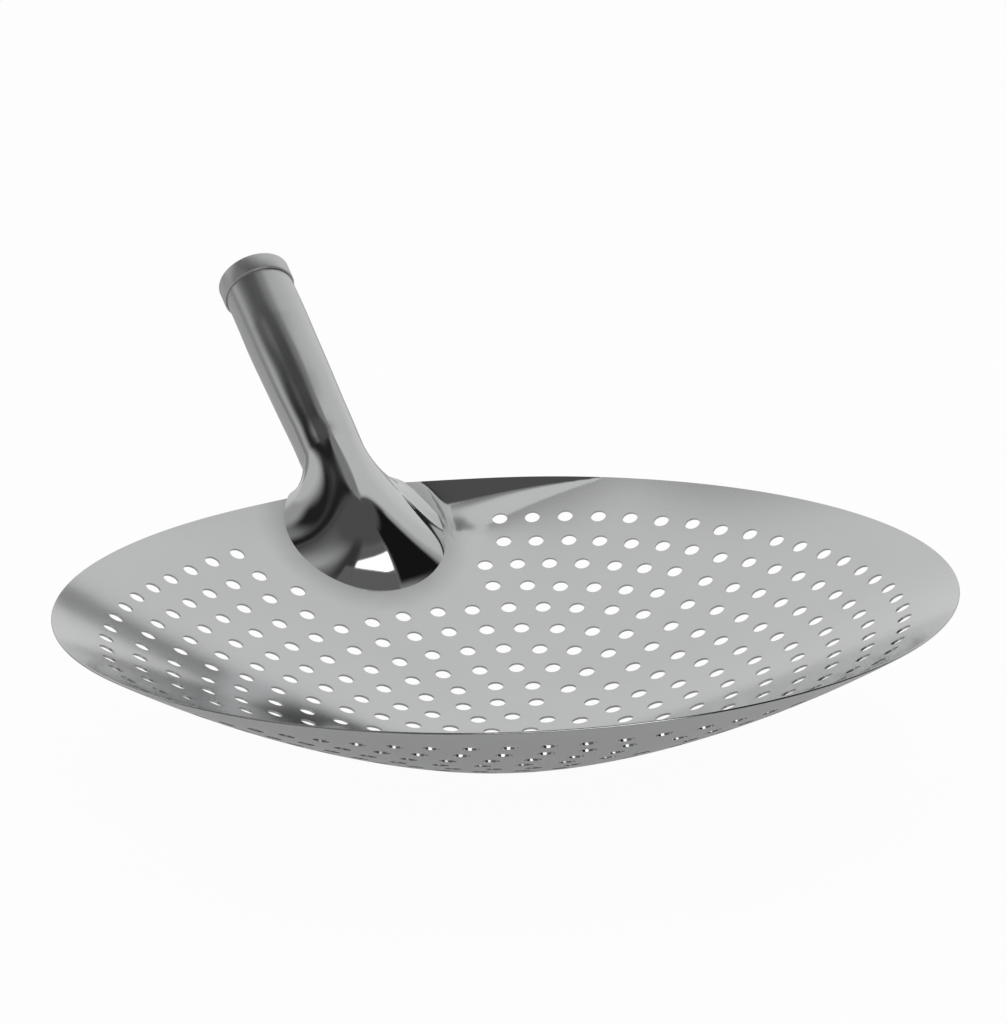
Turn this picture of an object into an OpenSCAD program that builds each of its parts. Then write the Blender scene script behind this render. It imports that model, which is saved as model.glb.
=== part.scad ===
// Perforated kitchen skimmer: a dished steel bowl whose wall is drawn up into a hollow socket.
// X runs along the socket, Y across it, Z up. The bowl's axis is upright.
// The origin lies on the table, in the middle of the whole length.

/* [Bowl] */
// Diameter of the bowl across the inner edge of its rim
rim_d = 330; // [300:1:360]
// Inner radius of the round bottom
crown_r = 207; // [190:1:240]
// Slope of the wall at the rim, in degrees
rim_angle = 31.4; // [29:0.1:36]
// Thickness of the bowl's sheet
bowl_sheet = 0.8; // [0.6:0.1:1.5]

/* [Perforation] */
// Diameter of one hole
hole_d = 5.4; // [3:0.1:6.5]
// Plain margin between the rim and the middle of the outer ring of holes
rim_margin = 19; // [16:0.5:24]
// Step from one ring of holes to the next
ring_step = 12; // [11.5:0.1:13]
// Spacing of the holes along a ring
hole_pitch = 14; // [11:0.1:20]
// Rings of holes in the wall
wall_rings = 7; // [5:1:7]
// Rings of holes in the round bottom, round its middle hole
crown_rings = 5; // [2:1:5]
// Plain sheet at either side of the neck's foot, before the rings of holes go on
neck_clear = 20; // [8:1:24]

/* [Neck] */
// Distance from the rim in to the middle of the neck's round foot
foot_inset = 20.5; // [15:0.5:25]
// Radius of the neck's round foot
foot_r = 31.5; // [28:0.5:34]
// How steeply the nose of the neck rises from the bowl, in degrees
nose_rise = 40; // [30:1:60]
// How steeply the neck leaves the sheet at the rim, in degrees
rim_rise = 6; // [0:1:20]

/* [Socket] */
// Lean of the socket above the rim's plane, in degrees
lean = 34; // [28:1:40]
// Height of the socket's axis over the rim
lift = 7.5; // [6:0.5:10]
// Distance from the rim to the end of the neck, along the socket's axis
neck_end = 8; // [6:0.5:14]
// Distance from the rim to the mouth, along the socket's axis
mouth_at = 109; // [80:1:180]
// Outer radius where the tube leaves the neck
tube_neck_r = 13; // [11:0.1:14]
// Inner radius of the mouth, which takes a wooden handle
bore_r = 13.2; // [12:0.1:15]
// Depth of the parallel part of the mouth
bore_depth = 32; // [20:1:45]
// Thickness of the socket's sheet
tube_sheet = 0.9; // [0.6:0.1:1.5]

/* [Mouth ring] */
// Length of the ring along the socket
ring_length = 8.2; // [5:0.1:14]
// Thickness of the ring
ring_wall = 0.8; // [0.5:0.1:2]
// Gap left between the ring and the tube
ring_fit = 0.05; // [0.02:0.01:0.1]

/* [Hidden] */
$fn = 96;
arc_fn = 720;
ribs = 48;
rib_steps = 12;
cut_over = 2;
steel = "silver";

// The true section of the inner face: an arc round the bottom runs into a wider arc up the wall.
rim_r = rim_d / 2;
foot_x = rim_r - foot_inset;
function ring_r(k) = rim_r - rim_margin - k * ring_step;
function band_r(k) = k < 0 ? rim_r : ring_r(k) + ring_step / 2;
crown_edge_r = band_r(wall_rings);
crown_edge_angle = asin(crown_edge_r / crown_r);
crown_cz = crown_r + bowl_sheet;
wall_r = (rim_r - crown_edge_r) / (sin(rim_angle) - sin(crown_edge_angle));
wall_cx = crown_edge_r - wall_r * sin(crown_edge_angle);
wall_cz = crown_cz + (wall_r - crown_r) * cos(crown_edge_angle);
function slope(r) = r <= crown_edge_r ? asin(r / crown_r) : asin((r - wall_cx) / wall_r);
function face_z(r) = r <= crown_edge_r ? crown_cz - crown_r * cos(slope(r))
    : wall_cz - wall_r * cos(slope(r));
rim_z = face_z(rim_r);

// The wall is struck in one band for each ring of holes, each from its own centre on the bowl's
// axis, so that every hole is square to the sheet.
function band_cz(k) = k >= wall_rings ? crown_cz
    : let (a = [band_r(k), face_z(band_r(k))], b = [band_r(k + 1), face_z(band_r(k + 1))])
        (a * a - b * b) / (2 * (a[1] - b[1]));
function band_radius(k) = k >= wall_rings ? crown_r
    : norm([band_r(k), face_z(band_r(k)) - band_cz(k)]);
function square_off(r, off) = [r - off * sin(slope(r)), face_z(r) + off * cos(slope(r))];

// The socket's axis leaves the rim at the angle of lean, in the plane of symmetry.
along = [cos(lean), 0, sin(lean)];
over = [-sin(lean), 0, cos(lean)];
aside = [0, 1, 0];
function axis_at(s) = [rim_r, 0, rim_z + lift] + s * along;
function tube_at(s, r, turn) = axis_at(s) + r * (cos(turn) * over + sin(turn) * aside);
mouth_r = bore_r + tube_sheet;
ring_r0 = mouth_r + ring_fit;
ring_r1 = ring_r0 + ring_wall;

// The origin lies under the middle of the whole length.
back_reach = rim_r + bowl_sheet * sin(rim_angle);
front_reach = rim_r + (mouth_at - ring_wall) * cos(lean) + ring_r0 * sin(lean) + ring_wall;
bowl_x = (back_reach - front_reach) / 2;

module at_bowl() translate([bowl_x, 0, 0]) children();
module on_axis(s) at_bowl() translate(axis_at(s)) rotate([0, 90 - lean, 0]) children();

module band(k)
    intersection() {
        translate([0, band_cz(k)]) difference() {
            circle(band_radius(k) + bowl_sheet, $fn = arc_fn);
            circle(band_radius(k), $fn = arc_fn);
        }
        polygon([square_off(band_r(k + 1), -cut_over), square_off(band_r(k), -cut_over),
                 square_off(band_r(k), cut_over), square_off(band_r(k + 1), cut_over)]);
    }

module crown()
    intersection() {
        translate([0, crown_cz]) difference() {
            circle(crown_r + bowl_sheet, $fn = arc_fn);
            circle(crown_r, $fn = arc_fn);
        }
        polygon([[0, crown_cz], [0, -crown_r],
                 [2 * crown_r * sin(crown_edge_angle), crown_cz - 2 * crown_r * cos(crown_edge_angle)]]);
    }

module punch(k, turn)
    translate([0, 0, band_cz(k)]) rotate([0, -asin(max(ring_r(k), 0) / band_radius(k)), turn])
        translate([0, 0, -band_radius(k) - bowl_sheet - cut_over])
            cylinder(d = hole_d, h = bowl_sheet + 2 * cut_over, $fn = 24);

// A ring that reaches the neck stops at either side of it, and the others go all the way round.
function gap_angle(k) = ring_r(k) + hole_d > foot_x - foot_r ? asin((foot_r + neck_clear) / foot_x) : 0;
function holes_in(k) = round((2 * PI * ring_r(k)) * (1 - gap_angle(k) / 180) / hole_pitch);

module ring_of_holes(k) {
    gap = gap_angle(k);
    count = holes_in(k);
    pitch_angle = (360 - 2 * gap) / count;
    for (i = [0 : count - (gap > 0 ? 0 : 1)]) punch(k, gap + i * pitch_angle);
}

module neck_hole() translate([foot_x, 0, -cut_over]) cylinder(r = foot_r, h = rim_z + 4 * cut_over);

module wall_band(k) difference() {
    rotate_extrude($fn = 180) band(k);
    neck_hole();
    if (k >= 0) ring_of_holes(k);
}

module crown_disc() difference() {
    rotate_extrude($fn = 180) crown();
    for (k = [wall_rings : wall_rings + crown_rings - 1]) ring_of_holes(k);
    translate([0, 0, -cut_over]) cylinder(d = hole_d, h = bowl_sheet + 2 * cut_over, $fn = 24);
}

module bowl() color(steel) at_bowl() union() {
    crown_disc();
    for (k = [-1 : wall_rings - 1]) wall_band(k);
}

// The neck is a sleeve of sheet on ribs. Each rib starts on the foot or on the free edge behind
// it, and ends on the tube. turn is its place round the socket, with 0 at the front.
corner_x = (rim_r * rim_r + foot_x * foot_x - foot_r * foot_r) / (2 * foot_x);
corner_turn = acos((foot_x - corner_x) / foot_r);
corner_y = foot_r * sin(corner_turn);
edge_turn = 110;
seam_lap = 4;
seam_at = neck_end - seam_lap;
aim_past_rim = 6;
aim_x = rim_r + aim_past_rim;
turn_step = 1;
least_pull = 0.25;

function side(turn) = turn > 180 ? -1 : 1;
function half_turn(turn) = turn > 180 ? 360 - turn : turn;
function unit(v) = v / norm(v);
function mix(a, b, w) = a * (1 - w) + b * w;
function hermite(a, ta, b, tb, w) = a * (2 * w * w * w - 3 * w * w + 1) + ta * (w * w * w - 2 * w * w + w)
    + b * (3 * w * w - 2 * w * w * w) + tb * (w * w * w - w * w);
function on_face(x, y) = [x, y, face_z(norm([x, y]))];

// Direction in the bowl's face from a point towards the middle of the neck, tipped up by rise.
function leave(p, rise) =
    let (r = norm([p[0], p[1]]), f = slope(min(r, rim_r)),
         h = unit([aim_x - p[0], -p[1]]), out = [p[0], p[1]] / r,
         flat = unit([h[0], h[1], tan(f) * (h * out)]),
         up = [-sin(f) * out[0], -sin(f) * out[1], cos(f)])
    cos(rise) * flat + sin(rise) * up;

function foot_point(t) =
    let (a = corner_turn * t / edge_turn) on_face(foot_x - foot_r * cos(a), foot_r * sin(a));
function free_point(t) =
    let (w = (t - edge_turn) / (180 - edge_turn), k = on_face(corner_x, corner_y),
         s = tube_at(seam_at, tube_neck_r, 180))
    hermite(k, 0.9 * norm(s - k) * unit([corner_y, -corner_x, 0]), s, 0.8 * corner_y * [0, -1, 0], w);
function foot_slope(turn) = let (p = foot_point(half_turn(turn))) slope(min(norm([p[0], p[1]]), rim_r));
function start_half(t) = t <= edge_turn ? foot_point(t) : free_point(t);
function start_dir(t) = t <= edge_turn
    ? leave(foot_point(t), rim_rise + (nose_rise - rim_rise) * (1 + cos(180 * t / edge_turn)) / 2)
    : unit(mix(leave(foot_point(edge_turn), rim_rise), along, (t - edge_turn) / (180 - edge_turn)));
function mirror_y(v, turn) = [v[0], side(turn) * v[1], v[2]];

// A rib keeps near the arc of a circle that has its two end directions.
function arc_pull(dir) = let (bend = max(1, acos(min(1, dir * along)))) 4 * tan(bend / 4) / sin(bend);
function pulled(chord, dir) = max(chord * dir, least_pull * norm(chord)) * dir;
function rib_point(turn, w) =
    let (t = half_turn(turn), a = start_half(t), b = tube_at(neck_end, tube_neck_r, t),
         dir = start_dir(t), pull = arc_pull(dir))
    mirror_y(hermite(a, pull * pulled(b - a, dir), b, pull * pulled(b - a, along), w), turn);

function wrap(turn) = (turn + 360) % 360;
function skin_normal(turn, w) =
    let (e = 0.02, du = rib_point(turn, min(1, w + e)) - rib_point(turn, max(0, w - e)),
         dt = rib_point(wrap(turn + turn_step), w) - rib_point(wrap(turn - turn_step), w))
    unit(cross(du, dt));
function back_point(turn, w) = w == 1 ? tube_at(neck_end, tube_neck_r - tube_sheet, turn)
    : w == 0 && half_turn(turn) <= edge_turn ? rib_point(turn, 0) - [0, 0, bowl_sheet / cos(foot_slope(turn))]
    : rib_point(turn, w) - tube_sheet * skin_normal(turn, w);
function cell(j, i) = j * ribs + i % ribs;

module neck() color(steel) at_bowl() {
    front = [for (j = [0 : rib_steps]) for (i = [0 : ribs - 1]) rib_point(i * 360 / ribs, j / rib_steps)];
    back = [for (j = [0 : rib_steps]) for (i = [0 : ribs - 1]) back_point(i * 360 / ribs, j / rib_steps)];
    n = len(front);
    skin = [for (j = [0 : rib_steps - 1]) for (i = [0 : ribs - 1])
        [cell(j, i), cell(j, i + 1), cell(j + 1, i + 1), cell(j + 1, i)]];
    foot = [for (i = [0 : ribs - 1]) [cell(0, i), n + cell(0, i), n + cell(0, i + 1), cell(0, i + 1)]];
    end = [for (i = [0 : ribs - 1]) [cell(rib_steps, i), cell(rib_steps, i + 1),
        n + cell(rib_steps, i + 1), n + cell(rib_steps, i)]];
    quads = concat(skin, [for (q = skin) [for (c = [3 : -1 : 0]) n + q[c]]], foot, end);
    polyhedron(concat(front, back), [for (q = quads) each [[q[0], q[1], q[2]], [q[0], q[2], q[3]]]]);
}

// The tube tapers from its parallel mouth down to the neck.
module socket_tube() color(steel) on_axis(0) {
    parallel = mouth_at - bore_depth;
    difference() {
        rotate_extrude() polygon([[0, neck_end], [tube_neck_r, neck_end], [mouth_r, parallel],
                                  [mouth_r, mouth_at], [0, mouth_at]]);
        translate([0, 0, parallel]) cylinder(r = bore_r, h = bore_depth + cut_over);
        rotate_extrude() polygon([[0, neck_end - cut_over],
            [tube_neck_r - tube_sheet, neck_end - cut_over], [tube_neck_r - tube_sheet, neck_end],
            [bore_r, parallel], [bore_r, parallel + cut_over], [0, parallel + cut_over]]);
    }
}

module mouth_ring() color(steel) on_axis(mouth_at - ring_length) rotate_extrude() {
    translate([ring_r0, 0]) square([ring_wall, ring_length - ring_wall]);
    intersection() {
        translate([ring_r0, ring_length - ring_wall]) circle(ring_wall);
        translate([ring_r0, ring_length - ring_wall - ring_fit]) square(ring_wall + ring_fit);
    }
}

bowl();
neck();
socket_tube();
mouth_ring();
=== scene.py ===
import math
import bpy
import numpy as np
from mathutils import Matrix, Vector


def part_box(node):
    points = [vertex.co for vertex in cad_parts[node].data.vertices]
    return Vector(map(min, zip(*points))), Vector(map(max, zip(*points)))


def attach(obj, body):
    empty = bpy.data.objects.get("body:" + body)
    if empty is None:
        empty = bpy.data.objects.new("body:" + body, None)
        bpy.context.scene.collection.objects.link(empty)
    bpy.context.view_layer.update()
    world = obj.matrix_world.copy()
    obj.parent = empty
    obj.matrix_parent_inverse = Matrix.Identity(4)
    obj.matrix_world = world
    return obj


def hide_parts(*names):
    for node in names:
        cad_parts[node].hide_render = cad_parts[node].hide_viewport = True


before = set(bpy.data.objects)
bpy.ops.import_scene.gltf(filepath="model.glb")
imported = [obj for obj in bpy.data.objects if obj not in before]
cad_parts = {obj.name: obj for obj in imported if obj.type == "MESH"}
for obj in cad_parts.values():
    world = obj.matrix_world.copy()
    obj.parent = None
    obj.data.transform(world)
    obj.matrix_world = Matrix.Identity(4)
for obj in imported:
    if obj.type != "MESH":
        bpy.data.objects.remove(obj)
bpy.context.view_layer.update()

print("frame loaded:", ", ".join(sorted(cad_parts)))

# The drawn sheet. All sizes are in metres and all angles in degrees.
sheet = {
    "rimRadius": 0.165,        # to the inner edge of the rim
    "crownRadius": 0.207,      # round bottom
    "crownEdge": 0.068,        # where the round bottom runs into the wall
    "rimSlope": 31.4,
    "thickness": 0.0008,
    "turnStep": 1.25, "fineStep": 0.45,        # degrees a face round the bowl, and beside the neck
    "fineFrom": -41.0, "fineTo": 19.0,
    "steps": 46, "rimSteps": 28,               # faces from the middle to rimBand, and from there to the rim
    "rimBand": 0.143,
}
sheetThick = sheet["thickness"]
rimR = sheet["rimRadius"]
crownR = sheet["crownRadius"]
crownEdge = sheet["crownEdge"]
crownAngle = math.asin(crownEdge / crownR)
wallR = (rimR - crownEdge) / (math.sin(math.radians(sheet["rimSlope"])) - math.sin(crownAngle))
wallX = crownEdge - wallR * math.sin(crownAngle)
crownZ = crownR + sheetThick
wallZ = crownZ + (wallR - crownR) * math.cos(crownAngle)
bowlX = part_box("bowl")[0].x + rimR + sheetThick * math.sin(math.radians(sheet["rimSlope"]))


def slopeAt(r):
    return np.where(r <= crownEdge, np.arcsin(np.minimum(r, crownEdge) / crownR),
                    np.arcsin((np.maximum(r, crownEdge) - wallX) / wallR))


def heightAt(r):
    s = slopeAt(r)
    return np.where(r <= crownEdge, crownZ - crownR * np.cos(s), wallZ - wallR * np.cos(s))


def smooth(a, b, x):
    t = np.clip((x - a) / (b - a), 0, 1)
    return t * t * (3 - 2 * t)


footX, footY, footR = 0.1438, -0.0014, 0.0315   # middle and radius of the neck's round foot in the bowl

# Marks that drawing the neck left in the sheet round it. Turn is counted from the handle's plane.
marks = {
    "creaseFrom": -11.0, "creaseFull": -15.0, "creaseTo": -37.0,   # turned-up margin right of the neck
    "creaseWidth": 0.0082, "creaseDepth": 0.0027, "creaseFade": 0.020,
    "dentRadius": 0.1410, "dentTurn": -15.6, "dentSpread": (0.0042, 0.0048), "dentDepth": 0.0019,
    "pullHeight": 0.0005, "pullReach": 0.0065,                     # the sheet rises towards the neck's foot
    "panRadius": 0.140, "panTurn": -18.0, "panSpread": (0.013, 0.013), "panDepth": 0.0012,
}


def warpAt(r, phi):
    # Offset of the sheet along its normal, inwards
    turn = np.degrees(phi)
    turn = (turn + 180) % 360 - 180
    m = marks
    fall = np.clip((turn - m["creaseTo"]) / (m["creaseFull"] - m["creaseTo"]), 0, 1)
    shape = np.where(turn > m["creaseFull"], smooth(m["creaseFrom"], m["creaseFull"], turn), fall)
    shape = np.where((turn < m["creaseFrom"]) & (turn > m["creaseTo"]), shape, 0)
    width = m["creaseWidth"] * shape + 1e-6
    inward = rimR - r
    t = inward / width
    margin = np.where(t < 0.8, t, 1 - (1.2 - np.minimum(t, 1.2)) ** 2 / 0.8)   # its root is rounded
    below = 1 - smooth(0, m["creaseFade"] * shape + 1e-6, inward - 1.2 * width)
    crease = -m["creaseDepth"] * shape * margin * below
    def spot(radius, centre, spread, depth):
        dr = (r - radius) / spread[0]
        dt = (turn - centre) * math.pi / 180 * radius / spread[1]
        return -depth * np.exp(-0.5 * (dr * dr + dt * dt))
    fromFoot = np.hypot(r * np.cos(phi) - footX, r * np.sin(phi) - footY) - footR
    pulled = m["pullHeight"] * np.exp(-np.maximum(fromFoot, 0) / m["pullReach"])
    return (crease + pulled + spot(m["dentRadius"], m["dentTurn"], m["dentSpread"], m["dentDepth"])
            + spot(m["panRadius"], m["panTurn"], m["panSpread"], m["panDepth"]))


def sheetPoint(r, phi, depth):
    # Point of the sheet, depth below its inner face, in the bowl's own frame
    s = slopeAt(r)
    off = warpAt(r, phi) - depth
    flat = r - off * np.sin(s)
    return np.stack([flat * np.cos(phi), flat * np.sin(phi), heightAt(r) + off * np.cos(s)], -1)


def sheetNormal(r, phi):
    e = 2e-4
    r = np.maximum(r, 2e-3)
    along = sheetPoint(r + e, phi, 0) - sheetPoint(r - e, phi, 0)
    turnStep = e / r
    across = sheetPoint(r, phi + turnStep, 0) - sheetPoint(r, phi - turnStep, 0)
    n = np.cross(along, across)
    return n / np.linalg.norm(n, axis=-1, keepdims=True)


def onSheet(co):
    # Radius, turn and depth below the inner face of points of the plain sheet
    flat = np.hypot(co[:, 0], co[:, 1])
    phi = np.arctan2(co[:, 1], co[:, 0])
    r = flat.copy()
    depth = np.zeros(len(co))
    for i in range(4):
        s = slopeAt(r)
        depth = (heightAt(r) - co[:, 2]) * np.cos(s) + (flat - r) * np.sin(s)
        r = flat - depth * np.sin(s)
    return r, phi, depth


# The neck's round foot in the bowl, and the socket
neck = {
    "noseRise": 52, "rimRise": 28,      # how steeply the ribs leave the sheet
    "edgeTurn": 110,                   # ribs below this start on the foot, the rest on the free edge
    "seamAt": 0.004, "endAt": 0.008,
    "aimX": 0.165, "edgeFlare": 54,    # where the ribs head for, and how far the free edge turns out at its start
    "edgePull": (0.85, 1.4), "edgeDelay": 0.0, "hurry": 0.0,
    "ribs": 160, "steps": 56,
    "snug": (1.3, 0.7), "splay": 0.6,
}
socket = {
    "lean": 34, "lift": 0.0075,
    "neckRadius": 0.0130, "boreRadius": 0.0132, "thickness": 0.0009,
    "mouthAt": 0.109, "boreDepth": 0.032,
    "turns": 128, "steps": 90,
    "dents": 0.00010,
}
lean = math.radians(socket["lean"])
along = np.array([math.cos(lean), 0, math.sin(lean)])
over = np.array([-math.sin(lean), 0, math.cos(lean)])
aside = np.array([0, 1, 0])
rimZ = float(heightAt(np.array(rimR)))
mouthR = socket["boreRadius"] + socket["thickness"]


def unit(v):
    return v / np.linalg.norm(v, axis=-1, keepdims=True)


def tubeRadius(s):
    straight = socket["mouthAt"] - socket["boreDepth"]
    w = np.clip((s - neck["endAt"]) / (straight - neck["endAt"]), 0, 1)
    return socket["neckRadius"] + (mouthR - socket["neckRadius"]) * w


def tubePoint(s, turn, inset=0.0):
    # Point of the socket at s along it and turn round it, 0 at its front
    s, turn = np.broadcast_arrays(s, turn)
    dents = socket["dents"] * smooth(0.010, 0.022, s) * (
        np.sin(2 * turn + 60 * s) + 0.7 * np.sin(3 * turn - 95 * s + 1) + 0.5 * np.sin(170 * s + turn))
    r = (tubeRadius(s) + dents - inset)[..., None]
    centre = np.array([rimR, 0, rimZ + socket["lift"]]) + s[..., None] * along
    return centre + r * (np.cos(turn)[..., None] * over + np.sin(turn)[..., None] * aside)


# Where the foot's circle meets the rim, on the left and on the right
footReach = math.hypot(footX, footY)
footAcross = math.acos((footReach ** 2 + footR ** 2 - rimR ** 2) / (2 * footR * footReach))
footSkew = math.atan2(footY, footX)
cornerLeft, cornerRight = footAcross - footSkew, footAcross + footSkew


def neckStart(turn):
    # Where each rib starts, and in which direction. turn runs from -180 to 180, left is positive.
    w = np.abs(turn) / neck["edgeTurn"]
    left = turn >= 0
    corner = np.where(left, cornerLeft, cornerRight)
    w = np.minimum(w, 1)
    a = corner * (w + neck["hurry"] * w * (1 - w)) * np.where(left, 1, -1)
    x = footX - footR * np.cos(a)
    y = footY + footR * np.sin(a)
    r, phi = np.hypot(x, y), np.arctan2(y, x)
    r = np.minimum(r, rimR)
    foot = sheetPoint(r, phi, 0)
    s = slopeAt(r)
    n = np.stack([-np.sin(s) * np.cos(phi), -np.sin(s) * np.sin(phi), np.cos(s)], -1)   # of the unmarked sheet
    inward = np.stack([neck["aimX"] - x, -y, np.zeros_like(x)], -1)
    flat = unit(inward - n * np.sum(inward * n, -1, keepdims=True))
    rise = np.radians(neck["rimRise"] + (neck["noseRise"] - neck["rimRise"])
                      * (1 + np.cos(np.pi * w)) / 2)[..., None]
    direction = np.cos(rise) * flat + np.sin(rise) * n
    # Past the corner the rib starts on the free edge, which runs round the back to the seam.
    past = np.clip((np.abs(turn) - neck["edgeTurn"]) / (180 - neck["edgeTurn"]), 0, 1)[..., None]
    seam = tubePoint(np.array(neck["seamAt"]), np.array(math.pi))
    flare = math.radians(neck["edgeFlare"])
    outward = np.stack([np.cos(s) * np.cos(phi), np.cos(s) * np.sin(phi), np.sin(s)], -1)
    tangent = (math.cos(flare) * unit(np.stack([np.abs(y), -x * np.sign(turn), 0 * x], -1))
               + math.sin(flare) * outward)
    reach = np.linalg.norm(seam - foot, axis=-1, keepdims=True)
    h = past * (1 - neck["edgeDelay"] * (1 - past))
    edge = (foot * (2 * h ** 3 - 3 * h ** 2 + 1) + neck["edgePull"][0] * reach * tangent * (h ** 3 - 2 * h ** 2 + h)
            + seam * (3 * h ** 2 - 2 * h ** 3)
            + neck["edgePull"][1] * np.abs(y)[..., None] * np.stack([0 * x, -np.sign(turn), 0 * x], -1) * (h ** 3 - h ** 2))
    start = np.where(past > 0, edge, foot)
    turned = past ** 2 * (3 - 2 * past)
    direction = unit(direction * (1 - turned) + along * turned)
    return start, direction


def softMax(a, b):
    return (a + b + np.sqrt((a - b) ** 2 + (0.4 * b) ** 2)) / 2


def neckPoint(turn, w):
    # Point of the neck's outer face on the rib at turn degrees, w of the way up it
    turn, w = np.broadcast_arrays(np.asarray(turn, float), np.asarray(w, float))
    turn = (turn + 180) % 360 - 180
    a, u = neckStart(turn)
    b = tubePoint(np.full(turn.shape, neck["endAt"]), np.radians(turn))
    d = np.broadcast_to(along, b.shape)
    angle = np.arccos(np.clip(np.sum(u * d, -1, keepdims=True), -1, 1))
    angle = np.maximum(angle, 0.02)
    pull = 4 / 3 * np.tan(angle / 4) / np.sin(angle) 
    front = (1 + np.cos(np.pi * np.minimum(np.abs(turn) / neck["edgeTurn"], 1)))[..., None] / 2
    snug = neck["snug"][1] + (neck["snug"][0] - neck["snug"][1]) * front
    pull = pull * (1 + (snug - 1) * angle / (math.pi / 2))
    chord = b - a
    near = np.linalg.norm(chord, axis=-1, keepdims=True)
    outA = pull * softMax(np.sum(chord * u, -1, keepdims=True), 0.25 * near)
    outB = pull * softMax(np.sum(chord * d, -1, keepdims=True), 0.25 * near) * (1 - neck["splay"] * (1 - front))
    w = w[..., None]
    p1, p2 = a + outA * u, b - outB * d
    return ((1 - w) ** 3 * a + 3 * (1 - w) ** 2 * w * p1 + 3 * (1 - w) * w ** 2 * p2 + w ** 3 * b)


def neckNormal(turn, w):
    e, f = 0.01, 0.5
    up = neckPoint(turn, np.minimum(w + e, 1)) - neckPoint(turn, np.maximum(w - e, 0))
    across = neckPoint(turn + f, w) - neckPoint(turn - f, w)
    return unit(np.cross(up, across))


def tubeNormal(s, turn):
    e = 5e-4
    across = tubePoint(s, turn + 0.02) - tubePoint(s, turn - 0.02)
    up = tubePoint(s + e, turn) - tubePoint(s - e, turn)
    return unit(np.cross(up, across))


def newObject(name, co, faces, normals=None):
    # A mesh object from points in the bowl's own frame. normals holds one vector a face corner.
    mesh = bpy.data.meshes.new(name)
    mesh.from_pydata((np.asarray(co) + [bowlX, 0, 0]).tolist(), [], faces)
    mesh.update()
    mesh.polygons.foreach_set("use_smooth", [True] * len(mesh.polygons))
    if normals is not None:
        mesh.normals_split_custom_set(np.asarray(normals).tolist())
    obj = bpy.data.objects.new(name, mesh)
    bpy.context.scene.collection.objects.link(obj)
    return obj


def wallOf(name, face, normal, thick, nu, nv):
    # A closed wall from a grid that closes round in u: face and normal are nv + 1 rows of nu points
    front = face.reshape(-1, 3)
    back = (face - thick * normal).reshape(-1, 3)
    n = len(front)
    co = np.concatenate([front, back])
    ns = np.concatenate([normal.reshape(-1, 3), -normal.reshape(-1, 3)])
    faces, loops = [], []
    def cell(j, i):
        return j * nu + i % nu
    for j in range(nv):
        for i in range(nu):
            q = [cell(j, i), cell(j + 1, i), cell(j + 1, i + 1), cell(j, i + 1)]
            faces.append(q)
            loops += [ns[k] for k in q]
            q = [n + k for k in reversed(q)]
            faces.append(q)
            loops += [ns[k] for k in q]
    for j, flip in ((0, False), (nv, True)):
        for i in range(nu):
            q = [cell(j, i), cell(j, i + 1), n + cell(j, i + 1), n + cell(j, i)]
            if flip:
                q.reverse()
            a, b, c = co[q[0]], co[q[1]], co[q[2]]
            faces.append(q)
            loops += [unit(np.cross(b - a, c - a))] * 4
    return newObject(name, co, faces, loops)


turns = np.arange(neck["ribs"]) * 360 / neck["ribs"]
rows = np.linspace(0, 1, neck["steps"] + 1)
gridTurn, gridRow = np.meshgrid(turns, rows)
neckObj = wallOf("neck_sheet", neckPoint(gridTurn, gridRow), neckNormal(gridTurn, gridRow),
                 sheetThick, neck["ribs"], neck["steps"])
print("neck:", len(neckObj.data.polygons), "faces")

turns = np.arange(socket["turns"]) * 2 * math.pi / socket["turns"]
rows = np.linspace(neck["endAt"], socket["mouthAt"], socket["steps"] + 1)
gridTurn, gridRow = np.meshgrid(turns, rows)
tubeObj = wallOf("socket_sheet", tubePoint(gridRow, gridTurn), tubeNormal(gridRow, gridTurn),
                 socket["thickness"], socket["turns"], socket["steps"])
print("socket:", len(tubeObj.data.polygons), "faces")


# The mouth ring: a plain band with rounded edges
ring = {
    "length": 0.0082, "wall": 0.0008, "gap": 0.00005,
    "round": 0.0004, "turns": 128,
}


def lathe(name, section, turns):
    # A closed ring round the socket's axis from a section of (s, radius) points, counter-clockwise
    section = np.asarray(section)
    n = len(section)
    turn = np.arange(turns) * 2 * math.pi / turns
    centre = np.array([rimR, 0, rimZ + socket["lift"]])
    spoke = np.cos(turn)[:, None] * over + np.sin(turn)[:, None] * aside
    co = (centre + section[None, :, :1] * along + section[None, :, 1:] * spoke[:, None, :]).reshape(-1, 3)
    faces = []
    for t in range(turns):
        for k in range(n):
            a, b = t * n, (t + 1) % turns * n
            faces.append([a + k, a + (k + 1) % n, b + (k + 1) % n, b + k])
    return newObject(name, co, faces)


ringIn = mouthR + ring["gap"]
ringOut = ringIn + ring["wall"]
low, high = socket["mouthAt"] - ring["length"], socket["mouthAt"]
section = [(low, ringIn)]
for end, first in ((high - ring["round"], 0), (low + ring["round"], 90)):
    for k in range(5):
        a = math.radians(first + k * 22.5)
        section.append((end + ring["round"] * math.cos(a), ringOut - ring["round"] * (1 - math.sin(a))))
# from the mouth back to the lower edge
section = [(low, ringIn), (high, ringIn)] + section[1:]
ringObj = lathe("mouth_ring_band", section, ring["turns"])
print("mouth ring:", len(ringObj.data.polygons), "faces")


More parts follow.
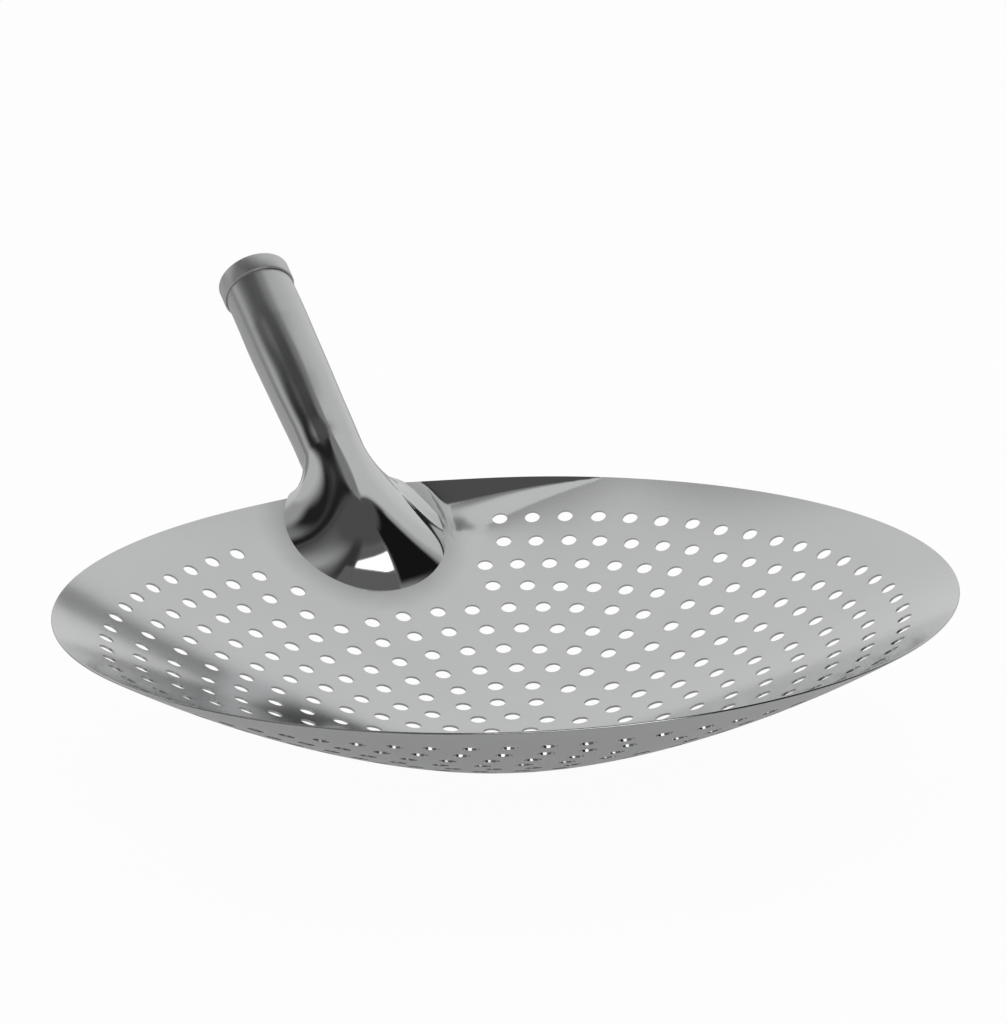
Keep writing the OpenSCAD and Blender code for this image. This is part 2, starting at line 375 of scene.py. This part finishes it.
# The bowl: the plain dished sheet, then its perforation and the notch under the neck
def plainSheet():
    # Inner skin from the middle out, round the rim, outer skin back to the middle.
    radii = np.concatenate([sheet["rimBand"] * np.linspace(0, 1, sheet["steps"] + 1)[1:],
                            np.linspace(sheet["rimBand"], rimR, sheet["rimSteps"] + 1)[1:]])
    fine = np.arange(sheet["fineFrom"], sheet["fineTo"], sheet["fineStep"])
    rest = sheet["fineTo"] + np.linspace(0, 360 + sheet["fineFrom"] - sheet["fineTo"],
                                         round((360 + sheet["fineFrom"] - sheet["fineTo"]) / sheet["turnStep"]),
                                         endpoint=False)
    phi = np.radians(np.concatenate([fine, rest]))
    nu = len(phi)
    rows = [(r, 0.0) for r in radii]
    slope = math.radians(sheet["rimSlope"])
    half = sheetThick / 2
    edge = []
    for a in (45, 90, 135):   # the rim is broken round
        a = math.radians(a)
        edge.append((half * math.sin(a) * 0.35, half - half * math.cos(a)))
    rows += [(rimR + e * math.cos(slope), d) for e, d in edge]
    rows += [(r, sheetThick) for r in radii[::-1]]
    co = [[0, 0, float(heightAt(np.array(0.0)))]]
    for r, depth in rows:
        r = np.array(r)
        at = np.minimum(r, rimR)
        s = float(slopeAt(at))
        flat = float(r) + depth * math.sin(s)
        z = float(heightAt(at)) + (float(r) - float(at)) * math.tan(s) - depth * math.cos(s)
        co += [[flat * math.cos(a), flat * math.sin(a), z] for a in phi]
    last = len(co)
    co.append([0, 0, co[0][2] - sheetThick])
    faces = [[0, 1 + i, 1 + (i + 1) % nu] for i in range(nu)]
    for j in range(len(rows) - 1):
        a, b = 1 + j * nu, 1 + (j + 1) * nu
        faces += [[a + i, b + i, b + (i + 1) % nu, a + (i + 1) % nu] for i in range(nu)]
    a = 1 + (len(rows) - 1) * nu
    faces += [[a + i, last, a + (i + 1) % nu] for i in range(nu)]
    mesh = bpy.data.meshes.new("plain_sheet")
    mesh.from_pydata(co, [], faces)
    mesh.update()
    obj = bpy.data.objects.new("plain_sheet", mesh)
    bpy.context.scene.collection.objects.link(obj)
    return obj


# Rings of holes, from the rim in. Turns are degrees from the handle's plane, left is positive.
perforation = {
    "holeDiameter": 0.0060, "punchLength": 0.008, "sides": 24,
    "jitter": 0.0004, "seed": 7,
    "firstRing": 0.146, "ringStep": 0.012,
    "plainTo": -57.5, "sectorFrom": -58.5, "sectorTo": -178.0,   # past here the rings have another step
    "sectorRing": 0.1452, "sectorStep": 0.01268,
    "sectorPitch": (5.32, 6.05, 6.79, 7.6, 8.65, 10.0, 12.0, 15.2, 17.0),
    # first hole right of the neck, its pitch, first hole left, its pitch
    "outerRings": ((-22.3, 5.15, 22.1, 5.2), (-22.8, 5.5, 22.2, 6.1),
                   (-19.2, 6.0, 18.1, 6.8), (-20.2, 6.95, 21.2, 7.7)),
    # phase and pitch of the rings that pass under the neck
    "innerRings": ((0.9, 8.04), (1.2, 9.33), (0.0, 10.83), (0.3, 13.0), (-0.8, 16.3)),
    "spacing": 0.014,
}


def holeSpots():
    h = perforation
    spots = []
    def addArc(r, first, pitch, last):
        a = first
        while (a - last) * (1 if pitch > 0 else -1) < 0:
            spots.append((r, a))
            a += pitch
    for k, (right, rightPitch, left, leftPitch) in enumerate(h["outerRings"]):
        r = h["firstRing"] - k * h["ringStep"]
        addArc(r, right, -rightPitch, h["plainTo"])
        addArc(r, left, leftPitch, 360 + h["sectorTo"] - 0.6 * leftPitch)
    for k, (phase, pitch) in enumerate(h["innerRings"]):
        r = h["firstRing"] - (k + 4) * h["ringStep"]
        addArc(r, phase, -pitch, h["plainTo"])
        addArc(r, phase + pitch, pitch, 360 + h["sectorTo"] - 0.6 * pitch)
    for k, pitch in enumerate(h["sectorPitch"]):
        r = h["sectorRing"] - k * h["sectorStep"]
        first = -(61.2 + 0.75 * k) if k else h["sectorFrom"]
        addArc(r, first, -pitch, h["sectorTo"])
    for k in range(9, 12):   # the small rings in the middle
        r = h["firstRing"] - k * h["ringStep"]
        pitch = 360 / max(6, round(2 * math.pi * r / h["spacing"]))
        addArc(r, 4.0, -pitch, h["plainTo"])
        addArc(r, 4.0 + pitch, pitch, 360 + h["sectorTo"] + 0.1 * pitch)
        r = h["sectorRing"] - k * h["sectorStep"]
        if r > h["spacing"]:
            pitch = 360 / round(2 * math.pi * r / h["spacing"])
            addArc(r, -(61.2 + 0.75 * k) - 0.5 * pitch, -pitch, h["sectorTo"])
    spots.append((0.0, 0.0))
    return spots


def socketOf(items, name, kind, default=None, inOut="INPUT"):
    item = items.new_socket(name=name, in_out=inOut, socket_type=kind)
    if default is not None:
        item.default_value = default
    return item


def perforateTree(metal):
    # Sheet in, sheet with its holes and its notch out.
    tree = bpy.data.node_groups.new("perforate", "GeometryNodeTree")
    face = tree.interface
    socketOf(face, "Geometry", "NodeSocketGeometry")
    socketOf(face, "Spots", "NodeSocketObject")
    socketOf(face, "Hole diameter", "NodeSocketFloat", 0.005)
    socketOf(face, "Punch length", "NodeSocketFloat", 0.008)
    socketOf(face, "Sides", "NodeSocketInt", 24)
    socketOf(face, "Jitter", "NodeSocketFloat", 0.0)
    socketOf(face, "Seed", "NodeSocketInt", 0)
    socketOf(face, "Notch radius", "NodeSocketFloat", 0.03)
    socketOf(face, "Notch place", "NodeSocketVector")
    socketOf(face, "Geometry", "NodeSocketGeometry", inOut="OUTPUT")
    nodes, links = tree.nodes, tree.links
    def add(kind, x, y, **values):
        node = nodes.new(kind)
        node.location = (x, y)
        for key, value in values.items():
            setattr(node, key, value)
        return node
    source = add("NodeGroupInput", -1200, 0)
    result = add("NodeGroupOutput", 900, 0)
    info = add("GeometryNodeObjectInfo", -1000, -200)
    links.new(source.outputs["Spots"], info.inputs["Object"])
    wander = add("FunctionNodeRandomValue", -1000, -500, data_type="FLOAT_VECTOR")
    lower = add("ShaderNodeMath", -1200, -500, operation="MULTIPLY")
    lower.inputs[1].default_value = -1
    links.new(source.outputs["Jitter"], lower.inputs[0])
    links.new(lower.outputs[0], wander.inputs["Min"])
    links.new(source.outputs["Jitter"], wander.inputs["Max"])
    links.new(source.outputs["Seed"], wander.inputs["Seed"])
    nudge = add("GeometryNodeSetPosition", -800, -200)
    links.new(info.outputs["Geometry"], nudge.inputs["Geometry"])
    links.new(wander.outputs["Value"], nudge.inputs["Offset"])
    aim = add("GeometryNodeInputNamedAttribute", -800, -500, data_type="FLOAT_VECTOR")
    aim.inputs["Name"].default_value = "aim"
    turn = add("FunctionNodeAlignRotationToVector", -600, -500, axis="Z")
    links.new(aim.outputs["Attribute"], turn.inputs["Vector"])
    punch = add("GeometryNodeMeshCylinder", -800, -800)
    links.new(source.outputs["Sides"], punch.inputs["Vertices"])
    links.new(source.outputs["Punch length"], punch.inputs["Depth"])
    half = add("ShaderNodeMath", -1000, -800, operation="MULTIPLY")
    half.inputs[1].default_value = 0.5
    links.new(source.outputs["Hole diameter"], half.inputs[0])
    links.new(half.outputs[0], punch.inputs["Radius"])
    copies = add("GeometryNodeInstanceOnPoints", -400, -200)
    links.new(nudge.outputs["Geometry"], copies.inputs["Points"])
    links.new(punch.outputs["Mesh"], copies.inputs["Instance"])
    links.new(turn.outputs["Rotation"], copies.inputs["Rotation"])
    notch = add("GeometryNodeMeshCylinder", -600, -900)
    notch.inputs["Vertices"].default_value = 256
    notch.inputs["Depth"].default_value = 0.2
    links.new(source.outputs["Notch radius"], notch.inputs["Radius"])
    place = add("GeometryNodeTransform", -400, -900)
    links.new(notch.outputs["Mesh"], place.inputs["Geometry"])
    links.new(source.outputs["Notch place"], place.inputs["Translation"])
    cutters = add("GeometryNodeJoinGeometry", -200, -400)
    links.new(copies.outputs["Instances"], cutters.inputs["Geometry"])
    links.new(place.outputs["Geometry"], cutters.inputs["Geometry"])
    real = add("GeometryNodeRealizeInstances", 0, -400)
    links.new(cutters.outputs["Geometry"], real.inputs["Geometry"])
    cut = add("GeometryNodeMeshBoolean", 200, 0, operation="DIFFERENCE", solver="MANIFOLD")
    links.new(source.outputs["Geometry"], cut.inputs["Mesh 1"])
    links.new(real.outputs["Geometry"], cut.inputs["Mesh 2"])
    last = add("GeometryNodeRealizeInstances", 400, 0)
    links.new(cut.outputs["Mesh"], last.inputs["Geometry"])
    paint = add("GeometryNodeSetMaterial", 600, 0)
    paint.inputs["Material"].default_value = metal
    links.new(last.outputs["Geometry"], paint.inputs["Geometry"])
    links.new(paint.outputs["Geometry"], result.inputs["Geometry"])
    return tree


def setInputs(modifier, values):
    for item in modifier.node_group.interface.items_tree:
        if item.item_type == "SOCKET" and item.in_out == "INPUT" and item.name in values:
            modifier[item.identifier] = values[item.name]


# Steel finishes. Each has its own tint, polish and marks of use. The bowl's finish also has painted shade round the
# neck's foot.
steelFinish = {
    "bowlSteel": {"colour": (0.64, 0.645, 0.65), "rough": (0.15, 0.15), "roughSpread": 0.04, "bump": 0.04,
                  "grain": (900, 900, 900), "cloud": 24, "tone": 0.055,
                  "paintedFootShade": 0.62, "paintedFootShadeReach": 0.013},   # painted shade: how dark the sheet's colour is made at the neck's foot, and how far out it fades
    "neckSteel": {"colour": (0.64, 0.645, 0.65), "rough": (0.05, 0.05), "roughSpread": 0.02, "bump": 0.01,
                  "grain": (900, 900, 900), "cloud": 40, "tone": 0.02},
    "socketSteel": {"colour": (0.63, 0.635, 0.64), "rough": (0.06, 0.27), "roughSpread": 0.03, "bump": 0.02,
                    "grain": (500, 900, 900), "cloud": 40, "tone": 0.04},
    "ringSteel": {"colour": (0.66, 0.665, 0.67), "rough": (0.36, 0.36), "roughSpread": 0.04, "bump": 0.03,
                  "grain": (900, 900, 900), "cloud": 60, "tone": 0.03},
}
polishTo = 0.085   # the first roughness is at the socket's start, the second is reached this far along it


def steel(name):
    f = steelFinish[name]
    mat = bpy.data.materials.new(name)
    mat.use_nodes = True
    nodes, links = mat.node_tree.nodes, mat.node_tree.links
    shader = nodes["Principled BSDF"]
    shader.inputs["Metallic"].default_value = 1.0
    coords = nodes.new("ShaderNodeTexCoord")
    cloud = nodes.new("ShaderNodeTexNoise")
    cloud.inputs["Scale"].default_value = f["cloud"]
    cloud.inputs["Detail"].default_value = 4
    links.new(coords.outputs["Object"], cloud.inputs["Vector"])
    tone = nodes.new("ShaderNodeMapRange")
    tone.inputs["To Min"].default_value = 1 - f["tone"]
    tone.inputs["To Max"].default_value = 1 + f["tone"]
    links.new(cloud.outputs["Fac"], tone.inputs["Value"])
    tint = nodes.new("ShaderNodeMix")
    tint.data_type = "RGBA"
    tint.blend_type = "MULTIPLY"
    tint.inputs["Factor"].default_value = 1
    tint.inputs[6].default_value = (*f["colour"], 1)
    # Painted shade: the bowl's colour is darkened round the neck's foot, where the sheet turns up into the neck. It
    # lightens again over about 1.5 reaches, and the noise makes its edge wander.
    if "paintedFootShade" in f:
        plan = nodes.new("ShaderNodeMapping")
        plan.inputs["Scale"].default_value = (1, 1, 0)
        links.new(coords.outputs["Object"], plan.inputs["Vector"])
        fromFoot = nodes.new("ShaderNodeVectorMath")
        fromFoot.operation = "DISTANCE"
        fromFoot.inputs[1].default_value = (bowlX + footX, footY, 0)
        links.new(plan.outputs["Vector"], fromFoot.inputs[0])
        wander = nodes.new("ShaderNodeMath")
        wander.operation = "MULTIPLY_ADD"
        wander.inputs[1].default_value = f["paintedFootShadeReach"]
        links.new(cloud.outputs["Fac"], wander.inputs[0])
        links.new(fromFoot.outputs["Value"], wander.inputs[2])
        paintedFootShade = nodes.new("ShaderNodeMapRange")
        paintedFootShade.interpolation_type = "SMOOTHSTEP"
        paintedFootShade.inputs["From Min"].default_value = footR
        paintedFootShade.inputs["From Max"].default_value = footR + 1.5 * f["paintedFootShadeReach"]
        paintedFootShade.inputs["To Min"].default_value = f["paintedFootShade"]
        links.new(wander.outputs[0], paintedFootShade.inputs["Value"])
        shade = nodes.new("ShaderNodeMath")
        shade.operation = "MULTIPLY"
        links.new(tone.outputs["Result"], shade.inputs[0])
        links.new(paintedFootShade.outputs["Result"], shade.inputs[1])
        links.new(shade.outputs[0], tint.inputs[7])
    else:
        links.new(tone.outputs["Result"], tint.inputs[7])
    links.new(tint.outputs[2], shader.inputs["Base Color"])
    stretch = nodes.new("ShaderNodeMapping")
    stretch.inputs["Scale"].default_value = f["grain"]
    links.new(coords.outputs["Object"], stretch.inputs["Vector"])
    grain = nodes.new("ShaderNodeTexNoise")
    grain.inputs["Scale"].default_value = 1
    grain.inputs["Detail"].default_value = 3
    links.new(stretch.outputs["Vector"], grain.inputs["Vector"])
    reach = nodes.new("ShaderNodeVectorMath")
    reach.operation = "DOT_PRODUCT"
    reach.inputs[1].default_value = along
    links.new(coords.outputs["Object"], reach.inputs[0])
    foot = float(np.dot(tubePoint(np.array(0.0), np.array(0.0)) + [bowlX, 0, 0], along))
    polish = nodes.new("ShaderNodeMapRange")
    polish.inputs["From Min"].default_value = foot
    polish.inputs["From Max"].default_value = foot + polishTo
    polish.inputs["To Min"].default_value, polish.inputs["To Max"].default_value = f["rough"]
    links.new(reach.outputs["Value"], polish.inputs["Value"])
    uneven = nodes.new("ShaderNodeMapRange")
    uneven.inputs["To Min"].default_value = -f["roughSpread"]
    uneven.inputs["To Max"].default_value = f["roughSpread"]
    links.new(cloud.outputs["Fac"], uneven.inputs["Value"])
    rough = nodes.new("ShaderNodeMath")
    rough.operation = "ADD"
    links.new(polish.outputs["Result"], rough.inputs[0])
    links.new(uneven.outputs["Result"], rough.inputs[1])
    links.new(rough.outputs[0], shader.inputs["Roughness"])
    # long fine scratches over the satin
    scratch = nodes.new("ShaderNodeTexNoise")
    scratch.inputs["Scale"].default_value = 1
    scratch.inputs["Detail"].default_value = 2
    slant = nodes.new("ShaderNodeMapping")
    slant.inputs["Rotation"].default_value = (0.3, 0.2, 0.9)
    slant.inputs["Scale"].default_value = (60, 1400, 1400)
    links.new(coords.outputs["Object"], slant.inputs["Vector"])
    links.new(slant.outputs["Vector"], scratch.inputs["Vector"])
    height = nodes.new("ShaderNodeMath")
    height.operation = "ADD"
    links.new(grain.outputs["Fac"], height.inputs[0])
    links.new(scratch.outputs["Fac"], height.inputs[1])
    bump = nodes.new("ShaderNodeBump")
    bump.inputs["Strength"].default_value = f["bump"]
    bump.inputs["Distance"].default_value = 0.0002
    links.new(height.outputs[0], bump.inputs["Height"])
    links.new(bump.outputs["Normal"], shader.inputs["Normal"])
    return mat


bowlSteel, neckSteel, socketSteel, ringSteel = [steel(name) for name in steelFinish]


def makeBowl():
    plain = plainSheet()
    spots = holeSpots()
    r = np.array([a for a, b in spots])
    phi = np.radians([b for a, b in spots])
    s = slopeAt(r)
    places = np.stack([r * np.cos(phi), r * np.sin(phi), heightAt(r)], -1)
    aims = np.stack([-np.sin(s) * np.cos(phi), -np.sin(s) * np.sin(phi), np.cos(s)], -1)
    mesh = bpy.data.meshes.new("hole_spots")
    mesh.from_pydata(places.tolist(), [], [])
    mesh.attributes.new("aim", "FLOAT_VECTOR", "POINT").data.foreach_set("vector", aims.ravel())
    spotsObj = bpy.data.objects.new("hole_spots", mesh)
    bpy.context.scene.collection.objects.link(spotsObj)
    h = perforation
    modifier = plain.modifiers.new("perforate", "NODES")
    modifier.node_group = perforateTree(bowlSteel)
    setInputs(modifier, {
        "Spots": spotsObj, "Hole diameter": h["holeDiameter"], "Punch length": h["punchLength"],
        "Sides": h["sides"], "Jitter": h["jitter"], "Seed": h["seed"],
        "Notch radius": footR, "Notch place": (footX, footY, 0.0)})
    depsgraph = bpy.context.evaluated_depsgraph_get()
    cut = bpy.data.meshes.new_from_object(plain.evaluated_get(depsgraph))
    co = np.empty(len(cut.vertices) * 3)
    cut.vertices.foreach_get("co", co)
    co = co.reshape(-1, 3)
    r, phi, depth = onSheet(co)
    faces = [tuple(p.vertices) for p in cut.polygons]
    faceNormal = np.array([p.normal[:] for p in cut.polygons])
    faceArea = np.array([p.area for p in cut.polygons])
    for o in (plain, spotsObj):
        bpy.data.objects.remove(o)
    near = 0.00004
    inner, outer = np.abs(depth) < near, np.abs(depth - sheetThick) < near
    co = sheetPoint(np.minimum(r, rimR), phi, depth) + np.where(r > rimR, r - rimR, 0)[:, None] * np.stack(
        [np.cos(phi), np.sin(phi), np.full(len(r), math.tan(math.radians(sheet["rimSlope"])))], -1)
    skin = sheetNormal(np.minimum(r, rimR - 0.0003), phi)
    skin[r < 0.0005] = (0, 0, 1)
    kinds = [0 if all(inner[i] for i in f) else 1 if all(outer[i] for i in f) else 2 for f in faces]
    # each corner of a wall face takes the mean direction, weighted by area, of the wall faces round it, so the walls of
    # the holes and the rim's edge come out smooth
    wallSum = np.zeros((len(co), 3))
    for f, kind, n, area in zip(faces, kinds, faceNormal, faceArea):
        if kind == 2:
            for i in f:
                wallSum[i] += n * area
    wall = wallSum / np.maximum(np.linalg.norm(wallSum, axis=1, keepdims=True), 1e-12)
    loops = []
    for f, kind in zip(faces, kinds):
        for i in f:
            loops.append(skin[i] if kind == 0 else -skin[i] if kind == 1 else wall[i])
    bpy.data.meshes.remove(cut)
    obj = newObject("bowl_sheet", co, faces, loops)
    print("bowl:", len(spots), "holes,", len(faces), "faces")
    return obj


bowlObj = makeBowl()

# What each piece stands for, and its finish
for obj, node, slotName, mat in (
        (bowlObj, "bowl", "bowl_steel", bowlSteel), (neckObj, "neck", "bowl_steel", neckSteel),
        (tubeObj, "socket_tube", "socket_steel", socketSteel), (ringObj, "mouth_ring", "ring_steel", ringSteel)):
    obj.data.materials.clear()
    obj.data.materials.append(mat)
    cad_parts[node].data.materials.clear()
    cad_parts[node].data.materials.append(mat)
    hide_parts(node)
    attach(obj, "root")
print("pieces dressed")

# Floor, light and camera. The room's panels are given as degrees round from the camera's side,
# right positive, and degrees up: from, to, softness, then their strength.
studio = {
    "cameraTurn": 157.26,
    "base": 0.42, "shadow": 0.10, "floorGlow": 1.06, "floorGloss": 0.20,
    "panels": (
        ("overhead", (-181, 181, 1), (78, 91, 9), 0.24),
        ("frontTop", (-86, 119, 4), (52, 91, 4), 0.10),
        ("frontLow", (-75, 75, 10), (-91, 10, 8), 0.40),
        ("front", (-75, 50, 8), (9, 56, 5), 0.15),
        ("softLamp", (-72, -40, 12), (44, 54, 6), 0.45),
        ("frontDark", (-32, -13, 6), (34, 60, 6), 0.05),
        ("rightDark", (50, 113, 4), (11, 66, 5), 0.01),
        ("leftTop", (-128, -84, 6), (62, 78, 5), 0.14),
        ("left", (-180, -102, 6), (9, 36, 5), 0.62),
        ("leftLow", (-180, -102, 6), (-91, 9, 5), 0.30),
        ("leftDark", (-119, -95, 6), (42, 57, 5), 0.02),
        ("leftStrip", (-99, -84, 6), (20, 82, 8), 0.02),
        ("right", (121, 150, 5), (-91, 84, 5), 0.67),
        ("window", (-12, 47, 2), (26, 44.5, 1.5), 2.2, 0.0),
        ("windowFoot", (-24, 49, 2), (0, 36.5, 1.2), 0.15, 0.3),
    ),
    "backFrom": 142, "backSoft": 6, "backTop": (72, 4), "back": 0.74,
}


floorMesh = bpy.data.meshes.new("floor")
floorMesh.from_pydata([(-6, -6, 0), (6, -6, 0), (6, 6, 0), (-6, 6, 0)], [], [(0, 1, 2, 3)])
floorObj = bpy.data.objects.new("floor", floorMesh)
bpy.context.scene.collection.objects.link(floorObj)
floorMat = bpy.data.materials.new("paleFloor")
floorMat.use_nodes = True
nodes, links = floorMat.node_tree.nodes, floorMat.node_tree.links
nodes.clear()
output = nodes.new("ShaderNodeOutputMaterial")
matt = nodes.new("ShaderNodeBsdfDiffuse")
matt.inputs["Color"].default_value = (0.8, 0.8, 0.8, 1)
glow = nodes.new("ShaderNodeEmission")
glow.inputs["Color"].default_value = (1, 1, 1, 1)
glow.inputs["Strength"].default_value = studio["floorGlow"]
seen = nodes.new("ShaderNodeLightPath")
share = nodes.new("ShaderNodeMath")
share.operation = "MULTIPLY_ADD"
share.inputs[1].default_value = 1 - studio["shadow"]
links.new(seen.outputs["Is Camera Ray"], share.inputs[0])
shine = nodes.new("ShaderNodeMath")
shine.operation = "MULTIPLY"
shine.inputs[1].default_value = studio["floorGloss"]
links.new(seen.outputs["Is Glossy Ray"], shine.inputs[0])
links.new(shine.outputs[0], share.inputs[2])
blend = nodes.new("ShaderNodeMixShader")
links.new(share.outputs[0], blend.inputs["Fac"])
links.new(matt.outputs[0], blend.inputs[1])
links.new(glow.outputs[0], blend.inputs[2])
links.new(blend.outputs[0], output.inputs["Surface"])
floorMesh.materials.append(floorMat)

world = bpy.data.worlds.new("studio")
bpy.context.scene.world = world
world.use_nodes = True
nodes, links = world.node_tree.nodes, world.node_tree.links
nodes.clear()
output = nodes.new("ShaderNodeOutputWorld")
coords = nodes.new("ShaderNodeTexCoord")
turned = nodes.new("ShaderNodeVectorRotate")
turned.rotation_type = "Z_AXIS"
turned.inputs["Angle"].default_value = math.radians(-studio["cameraTurn"])
links.new(coords.outputs["Generated"], turned.inputs["Vector"])
parts = nodes.new("ShaderNodeSeparateXYZ")
links.new(turned.outputs["Vector"], parts.inputs["Vector"])


def sum2(operation, a, b=None):
    node = nodes.new("ShaderNodeMath")
    node.operation = operation
    for socket, value in zip(node.inputs, (a, b)):
        if isinstance(value, (int, float)):
            socket.default_value = value
        elif value is not None:
            links.new(value, socket)
    return node.outputs[0]


def ramp(value, low, high):
    node = nodes.new("ShaderNodeMapRange")
    node.interpolation_type = "SMOOTHSTEP"
    links.new(value, node.inputs["Value"])
    node.inputs["From Min"].default_value = low
    node.inputs["From Max"].default_value = high
    return node.outputs["Result"]


def strip(value, low, high, soft):
    return sum2("MULTIPLY", ramp(value, low - soft, low + soft), ramp(value, high + soft, high - soft))


def paintOver(level, strength, mask):
    node = nodes.new("ShaderNodeMix")
    node.inputs["B"].default_value = strength
    links.new(mask, node.inputs["Factor"])
    if isinstance(level, float):
        node.inputs["A"].default_value = level
    else:
        links.new(level, node.inputs["A"])
    return node.outputs["Result"]


roundTurn = sum2("MULTIPLY", sum2("ARCTAN2", parts.outputs["Y"], parts.outputs["X"]), 180 / math.pi)
upTurn = sum2("MULTIPLY", sum2("ARCSINE", parts.outputs["Z"]), 180 / math.pi)
level = studio["base"]
for name, across, upward, strength, *slant in studio["panels"]:
    height = sum2("ADD", upTurn, sum2("MULTIPLY", roundTurn, slant[0])) if slant and slant[0] else upTurn
    level = paintOver(level, strength, sum2("MULTIPLY", strip(roundTurn, *across), strip(height, *upward)))
behind = sum2("MULTIPLY",
              ramp(sum2("ABSOLUTE", roundTurn), studio["backFrom"] - studio["backSoft"],
                   studio["backFrom"] + studio["backSoft"]),
              ramp(upTurn, studio["backTop"][0] + studio["backTop"][1], studio["backTop"][0] - studio["backTop"][1]))
level = paintOver(level, studio["back"], behind)
light = nodes.new("ShaderNodeBackground")
light.inputs["Color"].default_value = (1, 1, 1, 1)
links.new(level, light.inputs["Strength"])
backdrop = nodes.new("ShaderNodeBackground")
backdrop.inputs["Color"].default_value = (1, 1, 1, 1)
seen = nodes.new("ShaderNodeLightPath")
blend = nodes.new("ShaderNodeMixShader")
links.new(seen.outputs["Is Camera Ray"], blend.inputs["Fac"])
links.new(light.outputs[0], blend.inputs[1])
links.new(backdrop.outputs[0], blend.inputs[2])
links.new(blend.outputs[0], output.inputs["Surface"])

camera = {
    "elevation": 15.294, "roll": -1.8434, "handleTurn": 112.74,
    "distance": 10.6427, "acrossPx": 1.5411, "upPx": -80.9655, "scale": 451.6476,   # in rim radii
}
e, roll = math.radians(camera["elevation"]), math.radians(camera["roll"])
flat, ahead, rise = Vector((1, 0, 0)), Vector((0, math.cos(e), -math.sin(e))), Vector((0, math.sin(e), math.cos(e)))
right = math.cos(roll) * flat + math.sin(roll) * rise
up = -math.sin(roll) * flat + math.cos(roll) * rise
place = (-(camera["acrossPx"] / camera["scale"]) * right - (camera["upPx"] / camera["scale"]) * up
         - camera["distance"] * ahead) * rimR
turned = Matrix.Rotation(math.radians(-camera["handleTurn"]), 3, "Z")
right, up, ahead, place = turned @ right, turned @ up, turned @ ahead, turned @ place
pose = Matrix((right, up, -ahead)).transposed().to_4x4()
pose.translation = place + Vector((bowlX, 0, rimZ))
cameraData = bpy.data.cameras.new("camera")
cameraData.sensor_fit = "HORIZONTAL"
cameraData.sensor_width = 36
cameraData.lens = camera["scale"] * camera["distance"] * 36 / 1007
cameraData.clip_end = 20
cameraObj = bpy.data.objects.new("camera", cameraData)
bpy.context.scene.collection.objects.link(cameraObj)
cameraObj.matrix_world = pose
bpy.context.scene.camera = cameraObj
bpy.context.scene.view_settings.view_transform = "Standard"
